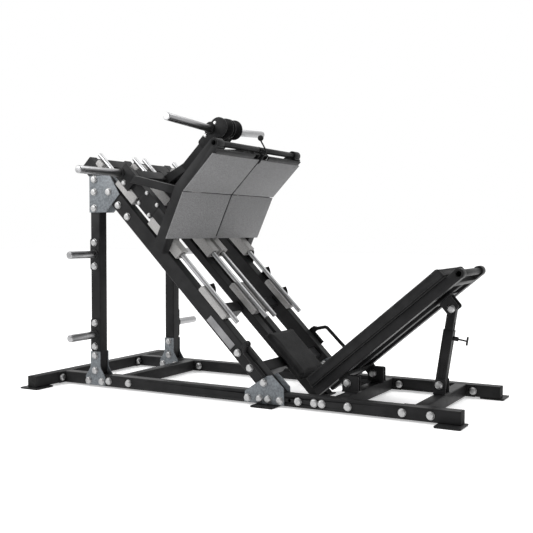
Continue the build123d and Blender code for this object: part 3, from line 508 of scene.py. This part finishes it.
def rounded_slab(low, high, corner, edge):
    """Closed slab with rounded corners in plan, softened at its upper edge."""
    bm = bmesh.new()
    center = (low + high) / 2
    half = (high - low) / 2
    levels = [(low.z, 0), (high.z - edge, 0)]
    levels += [(high.z - edge * (1 - math.sin(a)), edge * (1 - math.cos(a)))
               for a in (math.radians(90 * k / EDGE_STEPS) for k in range(1, EDGE_STEPS + 1))]
    rings = []
    for z, inset in levels:
        at = Vector((center.x, center.y, z))
        left = max(corner - inset, LEAST_CORNER)
        ring = rounded_rectangle(at, X, Y, half.x - inset, half.y - inset, left)
        rings.append([bm.verts.new(p) for p in ring])
    count = len(rings[0])
    for a, b in zip(rings, rings[1:]):
        for k in range(count):
            bm.faces.new((a[k], a[(k + 1) % count], b[(k + 1) % count], b[k]))
    bm.faces.new(list(reversed(rings[0])))
    bm.faces.new(rings[-1])
    return bm


def swell(obj, low):
    """Short cloth simulation under inner pressure; the underside is held on its board."""
    held = obj.vertex_groups.new(name="held")
    bottom = [v.index for v in obj.data.vertices if v.co.z < low.z + HELD_HEIGHT]
    held.add(bottom, 1.0, "REPLACE")
    rest = [v.co.copy() for v in obj.data.vertices]
    cloth = obj.modifiers.new("cloth", "CLOTH")
    cloth.settings.use_pressure = True
    cloth.settings.uniform_pressure_force = PRESSURE
    cloth.settings.effector_weights.gravity = 0
    cloth.settings.vertex_group_mass = "held"
    cloth.settings.quality = CLOTH_QUALITY
    cloth.settings.mass = CLOTH_MASS
    scene = bpy.context.scene
    for number in range(1, CLOTH_FRAMES + 1):
        scene.frame_set(number)
    graph = bpy.context.evaluated_depsgraph_get()
    shape = obj.evaluated_get(graph).to_mesh()
    moved = [v.co.copy() for v in shape.vertices]
    obj.evaluated_get(graph).to_mesh_clear()
    obj.modifiers.remove(cloth)
    scene.frame_set(1)
    for v, a, b in zip(obj.data.vertices, rest, moved):
        step = b - a
        if step.length > SWELL_CAP:
            step *= SWELL_CAP / step.length
        v.co = a + step
    obj.vertex_groups.remove(held)


def flatten_out(obj, low, high):
    """Keeps the pad inside the space of its CAD solid, give or take SPREAD."""
    for v in obj.data.vertices:
        for i in range(3):
            limit = SPREAD if i < 2 else SPREAD / 2
            v.co[i] = clamp(v.co[i], low[i] - limit, high[i] + limit)
        v.co.z = max(v.co.z, low.z)


def seam_round(bm, shape, low, high, z, radius, ripple=0.0):
    """Tube laid on the pad's flank at height z, found by looking inwards from outside."""
    center = Vector(((low.x + high.x) / 2, (low.y + high.y) / 2, z))
    half = (high - low) / 2
    outside = rounded_rectangle(center, X, Y, half.x + PROBE_OUT, half.y + PROBE_OUT, PROBE_OUT)
    found = []
    for p in resample(outside, SEAM_STEP):
        inner = Vector((clamp(p.x, low.x + PROBE_IN, high.x - PROBE_IN),
                        clamp(p.y, low.y + PROBE_IN, high.y - PROBE_IN), z))
        hit = shape.ray_cast(p, (inner - p).normalized())
        if hit[0] is not None:
            found.append(hit[0])
    tube_loop(bm, found, radius, ripple)


def upholster(node, body, angle, corner):
    """Stuffed pad with a welt round its face and a stitched lower seam."""
    turn, low, high = pad_frame(node, angle)
    inset = SWELL_CAP / 2
    small_low = Vector((low.x + inset, low.y + inset, low.z))
    small_high = Vector((high.x - inset, high.y - inset, high.z - inset))
    bm = rounded_slab(small_low, small_high, corner, FACE_EDGE)
    name = node.replace("_cushion", "_pad")
    pad = mesh_object(name, bm, FINISHES["cushion_black"], body)
    remesh = pad.modifiers.new("remesh", "REMESH")
    remesh.mode, remesh.voxel_size = "VOXEL", VOXEL
    graph = bpy.context.evaluated_depsgraph_get()
    pad.data = bpy.data.meshes.new_from_object(pad.evaluated_get(graph))
    pad.modifiers.clear()
    swell(pad, small_low)
    flatten_out(pad, low, high)
    for face in pad.data.polygons:
        face.use_smooth = True
    relax = pad.modifiers.new("relax", "SMOOTH")
    relax.factor, relax.iterations = 0.5, 4
    fine = pad.modifiers.new("fine", "SUBSURF")
    fine.levels = fine.render_levels = 1
    graph = bpy.context.evaluated_depsgraph_get()
    shape = BVHTree.FromObject(pad.evaluated_get(graph), graph)
    back = turn.inverted()
    leather = FINISHES["cushion_black"]
    for label, height, radius, ripple, finish in (
            ("welt", high.z - WELT_DROP, WELT_R, 0.0, leather),
            ("lower_seam", low.z + SEAM_RISE, SEAM_R, SEAM_RIPPLE, STITCH)):
        bm = bmesh.new()
        seam_round(bm, shape, low, high, height, radius, ripple)
        bm.transform(back)
        mesh_object(f"{name}_{label}", bm, finish, body)
    pad.data.transform(back)
    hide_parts(node)


# ---- build the scene ----
place_camera()
surroundings()
dress_frame()
frame_welds()
carriage_welds(-1, "left")
carriage_welds(1, "right")
upholster("backrest_cushion", "backrest", BACK_ANGLE, BACK_CORNER)
upholster("seat_cushion", "frame", SEAT_ANGLE, SEAT_CORNER)
